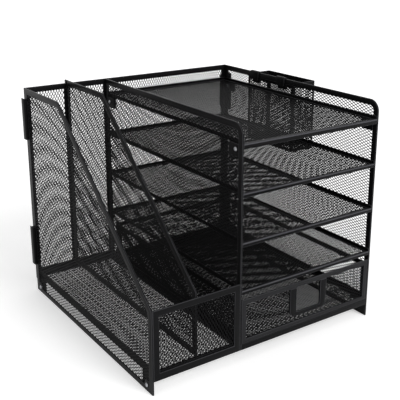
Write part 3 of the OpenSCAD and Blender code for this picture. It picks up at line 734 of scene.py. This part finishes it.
# %% Back panel
start, end, level = flat_box("back_rim", "front")
half = STRIP_T / 2 - PAD_INSET / 2
parts = [panel_strip("back_rim", "front", STRIP_W)]
for side in ("divider_mesh", "inner_side_mesh"):
    x = flat_box(side, "side")[2]
    parts.append(plate((x - STRIP_W / 2, level - half, start[1] + STRIP_W / 2),
                       (x + STRIP_W / 2, level + half, end[1] - STRIP_W / 2)))
finish_strip(parts, "back_panel_strip", "frame", "back_rim")
finish_mesh([panel_mesh("back_mesh", "front", long_up=True)], "back_panel_sheet", "frame", "back_mesh")
print("back panel with", len(parts) - 1, "bars")

# %% [markdown]
# ## The low front wall
#
# It closes the file bays between the left side and the inner side. Its strip has small tabs that
# go into the posts, so the ring's width is taken from the mesh's box, and its height from the
# strip's. It hangs in front of the file floor, and its lowest strip is a little wider.

# %% Low front wall of the file bays
WALL_FOOT_W = 10 * MM
start, end, level = flat_box("file_front_mesh", "front")
wall_start = (start[0] - EDGE_TO_MESH, low("file_front_rim").z)
wall_end = (end[0] + EDGE_TO_MESH, high("file_front_rim").z)
wall = thicken(ring(wall_start, wall_end, STRIP_W, foot=WALL_FOOT_W), STRIP_T, STRIP_ROUND)
finish_strip([stand(wall, "front", level)], "front_wall_strip", "frame", "file_front_rim")
finish_mesh([panel_mesh("file_front_mesh", "front", long_up=True)], "front_wall_sheet", "frame",
            "file_front_mesh")
print("front wall", round((wall_end[0] - wall_start[0]) / MM, 1), "mm wide")

# %% [markdown]
# ## Trays and shelves
#
# A tray is a floor frame with mesh, and thin edges round it: raised at the sides and back, and turned down
# at the front. The front edge is rolled. Along the top tray and every shelf that bead is a piece of its
# own, with a lighter coat that paints a highlight on it. Ears hang from the side edges where the screws go,
# and shelves have tabs that sit in slots of the posts instead.

# %% Rolled edges and ears
TOP_BEAD_R = 1.3 * MM
SHELF_BEAD_R = 1.0 * MM
BEAD_SIDES = 16
BEAD_OUT = 0.3 * MM         # how far a bead stands out of its lip
EAR_L = 22 * MM
EAR_LEAD = 7 * MM           # from a screw's middle to the ear's nearer end
EAR_R = 3 * MM
HEAD_R = 2.8 * MM           # a screw's head
SCREW_YS = (low("tray_screws").y + HEAD_R, high("tray_screws").y - HEAD_R)
EAR_YS = (SCREW_YS[0] - EAR_LEAD, SCREW_YS[1] + EAR_LEAD - EAR_L)


def bead(x0, x1, y, z, radius):
    """A rolled edge along X."""
    bpy.ops.object.select_all(action="DESELECT")
    bpy.ops.mesh.primitive_cylinder_add(vertices=BEAD_SIDES, radius=radius, depth=x1 - x0)
    roll = bpy.context.object
    roll.rotation_euler = (0, math.pi / 2, 0)
    roll.location = ((x0 + x1) / 2, y, z)
    settle(roll)
    return soften(roll, SHEET_ROUND)


def ear(x, y, z0, z1):
    """An ear that hangs from a side edge, with rounded lower corners."""
    sheet = blank((y, z0), (y + EAR_L, z1), rounds=[((y, z0), EAR_R), ((y + EAR_L, z0), EAR_R)])
    return stand(thicken(sheet, SHEET_T, SHEET_ROUND), "side", x)


print("ears start at y =", [round(y / MM, 1) for y in EAR_YS], "mm")

# %% [markdown]
# ## One function for every tray
#
# The six trays differ only in how high their edges are and in how they are held, so one function makes them
# all. Its last arguments say what a tray has: where its ears end, whether it has tabs, whether its bead
# gets the painted highlight, and how far its left edge also hangs below its floor.

# %% A whole tray
TRAY_STRIP_W = 5 * MM
TAB_W = 3.5 * MM
TAB_H = 5 * MM
TAB_Y = 2.7 * MM            # from the ends of the edges to a tab's middle
FLOOR_MARGIN = SHEET_T + SEAT_GAP


def tray(name, side_h, lip_h, bead_r, side_start=0.0, ear_feet=(), tabs=False, paints_bead_highlight=False,
         left_drop=0.0):
    """A whole tray: its floor frame, edges, lip, ears and tabs, and its mesh."""
    rim, edges = name + "_rim", name + "_edges"
    start, end, level = flat_box(rim, "floor")
    z0, z1 = low(rim).z, high(rim).z
    x0, x1 = start[0] - FLOOR_MARGIN, end[0] + FLOOR_MARGIN
    y0, y1 = start[1] - FLOOR_MARGIN, end[1] + FLOOR_MARGIN
    floor_ring = ring(start, end, TRAY_STRIP_W - FLOOR_MARGIN)
    parts = [stand(thicken(floor_ring, z1 - z0, SHEET_ROUND), "floor", level)]
    for left, drop in ((x0, left_drop), (x1 - SHEET_T, 0)):
        parts.append(plate((left, y0 + side_start, z0 - drop), (left + SHEET_T, y1, z0 + side_h)))
    parts.append(plate((x0, y1 - SHEET_T, z0), (x1, y1, z0 + side_h)))
    parts.append(plate((x0, y0, z1 - lip_h), (x1, y0 + SHEET_T, z1)))
    roll = bead(x0, x1, y0 + bead_r - BEAD_OUT, z1 - bead_r, bead_r)
    if paints_bead_highlight:
        # the bead takes the lighter coat, a painted highlight
        finish_strip([roll], name + "_front_bead", "frame", edges, coat=bead_highlight_coat)
    else:
        parts.append(roll)
    for x, foot_z in zip((x0 + SHEET_T / 2, x1 - SHEET_T / 2), ear_feet):
        parts += [ear(x, y, foot_z, z1) for y in EAR_YS]
    if tabs:
        a, b = low(edges), high(edges)
        for left, right in ((a.x, x0 + SHEET_T), (x1 - SHEET_T, b.x)):
            for y in (a.y + TAB_Y, b.y - TAB_Y):
                parts.append(plate((left, y - TAB_W / 2, z0), (right, y + TAB_W / 2, z0 + TAB_H)))
    frame_piece = finish_strip(parts, name + "_strip", "frame", rim, edges)
    mesh_piece = finish_mesh([panel_mesh(name + "_mesh", "floor")], name + "_sheet", "frame",
                             name + "_mesh")
    print(name, "has", len(frame_piece.data.polygons), "and", len(mesh_piece.data.polygons), "faces")

# %% [markdown]
# ## The six trays
#
# The top tray and the base tray are screwed to the sides through their ears, and three shelves hang on
# tabs. The base tray carries the drawer, so its side edges start behind the drawer's front. The file floor
# has higher edges, and its left one also hangs down, because the photograph shows a deep dark edge there:
# that hanging edge is a dark sheet put as painted shade, where the shade under the file floor falls.

# %% Top tray, shelves, base tray and file floor
TRAY_H = 6 * MM
FILE_FLANGE_H = 8 * MM
# painted shade: the file floor's left edge hangs this much lower as a dark sheet
FILE_FLANGE_DROP = 4.5 * MM
FILE_LIP_H = 5.5 * MM
TOP_LIP_DEPTH = 32 * MM     # the top tray's lip ends this far below the inner side's top edge
RUN_GAP = 0.4 * MM          # keeps the base tray's side edges off the drawer's front
top_lip = high("top_tray_rim").z - (high("inner_side_rim").z - TOP_LIP_DEPTH)
tray("top_tray", TRAY_H, top_lip, TOP_BEAD_R, ear_feet=(EAR_LOW, EAR_LOW), paints_bead_highlight=True)
for shelf in ("upper_shelf", "middle_shelf", "lower_shelf"):
    lip = high(shelf + "_rim").z - low(shelf + "_edges").z
    tray(shelf, TRAY_H, lip, SHELF_BEAD_R, tabs=True, paints_bead_highlight=True)
base_z = low("base_tray_edges").z
tray("base_tray", TRAY_H, high("base_tray_rim").z - base_z, SHELF_BEAD_R,
     side_start=STRIP_T + RUN_GAP, ear_feet=(base_z, base_z))
tray("file_floor", FILE_FLANGE_H, FILE_LIP_H, SHELF_BEAD_R,
     ear_feet=(low("file_floor_edges").z, base_z), left_drop=FILE_FLANGE_DROP)
print("the top tray's lip is", round(top_lip / MM, 1), "mm high")

# %% [markdown]
# ## Rear corners
#
# The organizer comes flat packed. At its rear corners the back panel's folded hooks drop into
# sleeves on the outer sides. A sleeve is a plate with one fold, welded to the side along its
# front edge, and a hook is a plate with one fold that lies on the back panel.

# %% Sleeves and back hooks
SLEEVE_H = 62 * MM
SLEEVE_L = 10 * MM
HOOK_RISE = 3 * MM          # a hook is this much shorter than its sleeve at either end
BACK_HOOK_L = 10 * MM
FOLD_R = 1.5 * MM
side_end = high("left_side_rim").y
sleeve_low = low("corner_sleeves")
hook_low, hook_high = low("back_hooks"), high("back_hooks")
sleeves, hooks = [], []
for z in (sleeve_low.z, high("corner_sleeves").z - SLEEVE_H):
    for face, away in ((low("left_side_rim").x, -1), (high("right_side_rim").x, 1)):
        wall_x = face + away * (abs(sleeve_low.x - low("left_side_rim").x) - SHEET_T / 2)
        y = side_end - SLEEVE_L + SHEET_T / 2
        sleeve = folded_plate([(face + away * SEAT_GAP, y), (wall_x, y), (wall_x, side_end)],
                              SLEEVE_H, SHEET_T, FOLD_R)
        sleeves.append(stand(sleeve, "floor", z))
        leg_x = face + away * (abs(hook_low.x - low("left_side_rim").x) - SHEET_T / 2)
        y = hook_high.y - SHEET_T / 2
        hook = folded_plate([(leg_x, hook_low.y), (leg_x, y), (face - away * BACK_HOOK_L, y)],
                            SLEEVE_H - 2 * HOOK_RISE, SHEET_T, FOLD_R)
        hooks.append(stand(hook, "floor", z + HOOK_RISE))
finish_strip(sleeves, "corner_sleeve_plates", "frame", "corner_sleeves")
finish_strip(hooks, "back_hook_plates", "frame", "back_hooks")
print(len(sleeves), "sleeves and", len(hooks), "hooks")

# %% [markdown]
# ## Drawer
#
# The drawer is a box of five small panels, each made as the large ones are. The front's strip is narrower
# at its foot, and its coat is a lighter copy of the strip coat, painted light.

# %% Drawer box
DRAWER_STRIP_W = 7 * MM
DRAWER_FOOT_W = 5 * MM
finish_strip([panel_strip("drawer_front_rim", "front", DRAWER_STRIP_W, foot=DRAWER_FOOT_W)],
             "drawer_front_strip", "drawer", "drawer_front_rim", coat=drawer_painted_light_coat)
for side in ("drawer_left", "drawer_right"):
    finish_strip([panel_strip(side + "_rim", "side", DRAWER_STRIP_W)], side + "_strip", "drawer",
                 side + "_rim")
    finish_mesh([panel_mesh(side + "_mesh", "side")], side + "_sheet", "drawer", side + "_mesh")
finish_strip([panel_strip("drawer_back_rim", "front", DRAWER_STRIP_W)], "drawer_back_strip", "drawer",
             "drawer_back_rim")
finish_mesh([panel_mesh("drawer_back_mesh", "front")], "drawer_back_sheet", "drawer", "drawer_back_mesh")
start, end, level = flat_box("drawer_floor_rim", "floor")
floor_ring = ring(start, end, TRAY_STRIP_W)
floor_t = high("drawer_floor_rim").z - low("drawer_floor_rim").z
finish_strip([stand(thicken(floor_ring, floor_t, SHEET_ROUND), "floor", level)], "drawer_floor_strip",
             "drawer", "drawer_floor_rim")
finish_mesh([panel_mesh("drawer_floor_mesh", "floor")], "drawer_floor_sheet", "drawer", "drawer_floor_mesh")
print("drawer box", round((end[0] - start[0]) / MM, 1), "mm wide")

# %% [markdown]
# ## The drawer's pull
#
# The pull is a U-shaped bezel that hangs from the top strip round a finger opening. It is drawn
# as a ring that is taller than the pull. Its inner edge is moved in on both sides, because the
# upright bars are wider than the low one, and what stands above the pull is cut off.

# %% Drawer pull
PULL_BAR_W = 11 * MM
PULL_LOW_W = 6 * MM
PULL_R = 9 * MM
PULL_ROUND = 0.6 * MM
PULL_EXTRA_H = 20 * MM      # drawn above the pull, and cut off again
pull_start, pull_end, pull_level = flat_box("drawer_pull", "front")
pull_t = high("drawer_pull").y - low("drawer_pull").y
widen = PULL_BAR_W - PULL_LOW_W
outline = blank(pull_start, (pull_end[0], pull_end[1] + PULL_EXTRA_H),
                rounds=[(pull_start, PULL_R), ((pull_end[0], pull_start[1]), PULL_R)])
inner_left = pull_start[0] + PULL_LOW_W
inner_right = pull_end[0] - PULL_LOW_W
inner_low = pull_start[1] + PULL_LOW_W
pull_x = (inner_left + inner_right) / 2
hollow(outline, PULL_LOW_W, [
    (lambda m: inner_left - NEAR < m.x < pull_x and m.y > inner_low - NEAR, (widen, 0, 0)),
    (lambda m: pull_x < m.x < inner_right + NEAR and m.y > inner_low - NEAR, (-widen, 0, 0))])
cut(outline, [((pull_start[0], pull_end[1]), (pull_end[0], pull_end[1]))])
pull = stand(thicken(outline, pull_t, PULL_ROUND), "front", pull_level)
finish_strip([pull], "drawer_pull_bezel", "drawer", "drawer_pull")
print("pull opening", round((inner_right - inner_left - 2 * widen) / MM, 1), "mm wide")

# %% [markdown]
# ## The mesh of the drawer's front
#
# It stops inside the bezel, so it is made of three lattices: left of the pull, right of it and
# below it. All lattices follow one grid, so they meet without a seam.

# %% Mesh of the drawer front, in three stretches round the pull
start, end, level = flat_box("drawer_front_mesh", "front")
left_x = pull_start[0] + MESH_SEAT
right_x = pull_end[0] - MESH_SEAT
low_z = pull_start[1] + MESH_SEAT
stretches = [(start, (left_x, end[1])), ((right_x, start[1]), end), ((left_x, start[1]), (right_x, low_z))]
finish_mesh([stand(lattice(a, b), "front", level) for a, b in stretches], "drawer_front_sheet", "drawer",
            "drawer_front_mesh")
print("drawer front mesh in", len(stretches), "stretches")

# %% [markdown]
# ## Pen holder
#
# Its frame is one box of thin strip with rounded upright corners. A cube loses its top and
# bottom, its upright edges are bevelled, and each wall is inset on its own and opened, so that a
# strip stays at every corner, a wider one round the rim and a narrow one at the foot.

# %% Pen holder frame
PEN_STRIP_T = 1.2 * MM
PEN_EDGE_W = 5 * MM
PEN_RIM_W = 8 * MM
PEN_CORNER_R = 2.5 * MM
a, b = low("pen_holder_frame"), high("pen_holder_frame")
half = PEN_STRIP_T / 2
bpy.ops.object.select_all(action="DESELECT")
bpy.ops.mesh.primitive_cube_add(size=1)
pen_frame = bpy.context.object
pen_frame.location = (a + b) / 2
pen_frame.scale = (b.x - a.x - PEN_STRIP_T, b.y - a.y - PEN_STRIP_T, b.z - a.z)
settle(pen_frame)
middle = (a + b) / 2
bpy.ops.object.mode_set(mode="EDIT")
select_in(pen_frame, "FACE", lambda m: abs(m.z - middle.z) > MM)
bpy.ops.mesh.delete(type="FACE")
select_in(pen_frame, "EDGE", lambda m: abs(m.z - middle.z) < MM and abs(m.x - middle.x) > MM
          and abs(m.y - middle.y) > MM)
bpy.ops.mesh.bevel(affect="EDGES", offset=PEN_CORNER_R, segments=FOLD_STEPS, profile=0.5)
select_in(pen_frame, "FACE", lambda m: abs(m.x - middle.x) < MM or abs(m.y - middle.y) < MM)
inset_w = PEN_EDGE_W - half - PEN_CORNER_R
bpy.ops.mesh.inset(thickness=inset_w, use_individual=True)
bpy.ops.mesh.delete(type="FACE")
for z, width, way in ((a.z, PEN_EDGE_W, 1), (b.z, PEN_RIM_W, -1)):
    select_in(pen_frame, "VERT", lambda m: abs(m.z - (z + way * inset_w)) < NEAR)
    bpy.ops.transform.translate(value=(0, 0, way * (width - inset_w)))
bpy.ops.object.mode_set(mode="OBJECT")
finish_strip([thicken(pen_frame, PEN_STRIP_T, SHEET_ROUND)], "pen_holder_strip", "pen_holder",
             "pen_holder_frame")
print("pen holder", [round(v / MM) for v in b - a], "mm")

# %% [markdown]
# ## The pen holder's mesh
#
# It lines the four walls and closes the floor from inside. Each wall is a lattice of its own, a
# hair inside the liner's outer faces, so that it touches the strip and doesn't cut it.

# %% Pen holder mesh and floor
LINER_INSET = 0.3 * MM
a, b = low("pen_holder_mesh"), high("pen_holder_mesh")
walls = [stand(lattice((a.y, a.z), (b.y, b.z)), "side", x)
         for x in (a.x + LINER_INSET, b.x - LINER_INSET)]
walls += [stand(lattice((a.x, a.z), (b.x, b.z)), "front", y)
          for y in (a.y + LINER_INSET, b.y - LINER_INSET)]
finish_mesh(walls, "pen_holder_sheet", "pen_holder", "pen_holder_mesh")
finish_mesh([panel_mesh("pen_holder_floor", "floor")], "pen_holder_floor_sheet", "pen_holder",
            "pen_holder_floor")
print("pen holder lined on its walls and its floor")

# %% [markdown]
# ## The pen holder's hooks
#
# Two straps are folded over the right side's top edge. Each is a folded plate with its profile
# drawn on the XY plane: up the holder's wall, across the edge, and down inside the tray.

# %% Pen holder hooks
HOOK_T = 1.5 * MM
HOOK_W = 20 * MM
HOOK_REACH = 12 * MM        # how far the inner legs reach below the side's top edge
a, b = low("pen_holder_hooks"), high("pen_holder_hooks")
outer_x, inner_x = b.x - HOOK_T / 2, a.x + HOOK_T / 2
top_z = b.z - HOOK_T / 2
inner_foot = high("right_side_rim").z - HOOK_REACH
profile = [(outer_x, a.z), (outer_x, top_z), (inner_x, top_z), (inner_x, inner_foot)]
hooks = [stand(folded_plate(profile, HOOK_W, HOOK_T, FOLD_R), "front", y)
         for y in (a.y + HOOK_W, b.y)]
finish_strip(hooks, "pen_holder_hook_plates", "pen_holder", "pen_holder_hooks")
print("hooks", round((b.x - a.x) / MM, 1), "mm over the top strip")

# %% [markdown]
# ## The floor
#
# The organizer stands on a plain white floor in a white room, as in a product picture. The floor
# is a real diffuse white that takes the shadow. A little glow lifts it to paper white, but only
# for the camera and for rays that mirrors and glass send on, so it adds no diffuse light to the
# organizer.

# %% Floor
FLOOR_SIZE = 12     # metres
FLOOR_LIFT = 0.4
FIBRE_MM = 4        # paper fibre is finer; at this size its tone still shows close by
PAPER_TONES = ("F1F1F1", "F4F4F4")
PAPER_ROUGHNESS = 0.9
PAPER_SHEEN = 0.2


def seen_directly(tree):
    """1 for rays that show the surroundings as they are: camera, mirror and glass rays."""
    rays = add_node(tree, "ShaderNodeLightPath")
    mirrored = add_node(tree, "ShaderNodeMath", {"operation": "MAXIMUM"},
                        {0: (rays, "Is Camera Ray"), 1: (rays, "Is Glossy Ray")})
    return add_node(tree, "ShaderNodeMath", {"operation": "MAXIMUM"},
                    {0: (mirrored, 0), 1: (rays, "Is Transmission Ray")})


def floor_white():
    """Matt white paper that camera, mirror and glass rays see brighter than it is."""
    material, tree, shader = new_material("matt_white_paper")
    place = add_node(tree, "ShaderNodeTexCoord")
    fibre = add_node(tree, "ShaderNodeTexNoise", {"Scale": 1 / (FIBRE_MM * MM), "Detail": 2.0},
                     {"Vector": (place, "Object")})
    dark, light = [linear(tone) for tone in PAPER_TONES]
    tone = add_node(tree, "ShaderNodeMix", {"data_type": "RGBA", 6: dark, 7: light}, {0: (fibre, 0)})
    tree.links.new(tone.outputs[2], shader.inputs["Base Color"])
    shader.inputs["Roughness"].default_value = PAPER_ROUGHNESS
    shader.inputs["Specular IOR Level"].default_value = PAPER_SHEEN
    lift = add_node(tree, "ShaderNodeMath", {"operation": "MULTIPLY", 1: FLOOR_LIFT},
                    {0: (seen_directly(tree), 0)})
    shader.inputs["Emission Color"].default_value = (1, 1, 1, 1)
    tree.links.new(lift.outputs[0], shader.inputs["Emission Strength"])
    return material


bpy.ops.object.select_all(action="DESELECT")
bpy.ops.mesh.primitive_plane_add(size=FLOOR_SIZE)
floor = bpy.context.object
floor.name = "floor"
floor.data.materials.append(floor_white())
print("floor", FLOOR_SIZE, "m wide")

# %% [markdown]
# ## The light
#
# The world is white where it is seen, and lights everything evenly at about half that strength.
# One broad lamp far in front, a little to the right, lights the faces that look forward. It is a
# sun with a wide disc, so its level is the same all over and its shadows are soft.

# %% World and lamp
WORLD_LIGHT = 0.55
LAMP_FROM = (0.5, -2.0, 1.2)
LAMP_DISC = 35      # degrees
LAMP_LEVEL = 2.3    # watts per square metre
world = bpy.data.worlds.new("white_room")
bpy.context.scene.world = world
world.use_nodes = True
sky = world.node_tree.nodes["Background"]
sky.inputs["Color"].default_value = (1, 1, 1, 1)
strength = add_node(world.node_tree, "ShaderNodeMapRange", {"To Min": WORLD_LIGHT, "To Max": 1.0},
                    {"Value": (seen_directly(world.node_tree), 0)})
world.node_tree.links.new(strength.outputs["Result"], sky.inputs["Strength"])

bpy.ops.object.light_add(type="SUN", location=LAMP_FROM)
lamp = bpy.context.object
lamp.name = "front_light"
lamp.data.angle = math.radians(LAMP_DISC)
lamp.data.energy = LAMP_LEVEL
lamp.rotation_euler = (-lamp.location).to_track_quat("-Z", "Y").to_euler()
print("lamp", lamp.data.energy, "W/m2, world", WORLD_LIGHT)

# %% [markdown]
# ## The camera
#
# It stands about 1.2 m off, to the left of the front and above it, where the photograph was
# taken from. Its place, turn and lens were fitted to corners of the organizer. It is shifted a
# little, so that upright edges converge less, as they do in the photograph.

# %% Camera
CAMERA_AT = (-0.6093, -0.8845, 0.5419)
CAMERA_TURN = 34.49     # degrees to the right of straight ahead
CAMERA_DOWN = 16.62     # degrees below level
CAMERA_LENS = 69.05
CAMERA_SHIFT = (-0.015, -0.1)
CAMERA_FILM = 36        # millimetres wide
CAMERA_NEAREST = 0.01   # metres
bpy.ops.object.camera_add(location=CAMERA_AT)
camera = bpy.context.object
camera.rotation_euler = (math.radians(90 - CAMERA_DOWN), 0, -math.radians(CAMERA_TURN))
camera.data.sensor_width = CAMERA_FILM
camera.data.lens = CAMERA_LENS
camera.data.shift_x, camera.data.shift_y = CAMERA_SHIFT
camera.data.clip_start = CAMERA_NEAREST
bpy.context.scene.camera = camera
bpy.context.scene.view_settings.view_transform = "Standard"
print("camera", round(Vector(CAMERA_AT).length, 3), "m from the organizer's foot")

# %% [markdown]
# ## Pieces and faces
#
# The number of finished pieces and of their faces is printed.

# %% Pieces and faces
print("pieces:", len(made), "faces:", sum(len(obj.data.polygons) for obj in made))
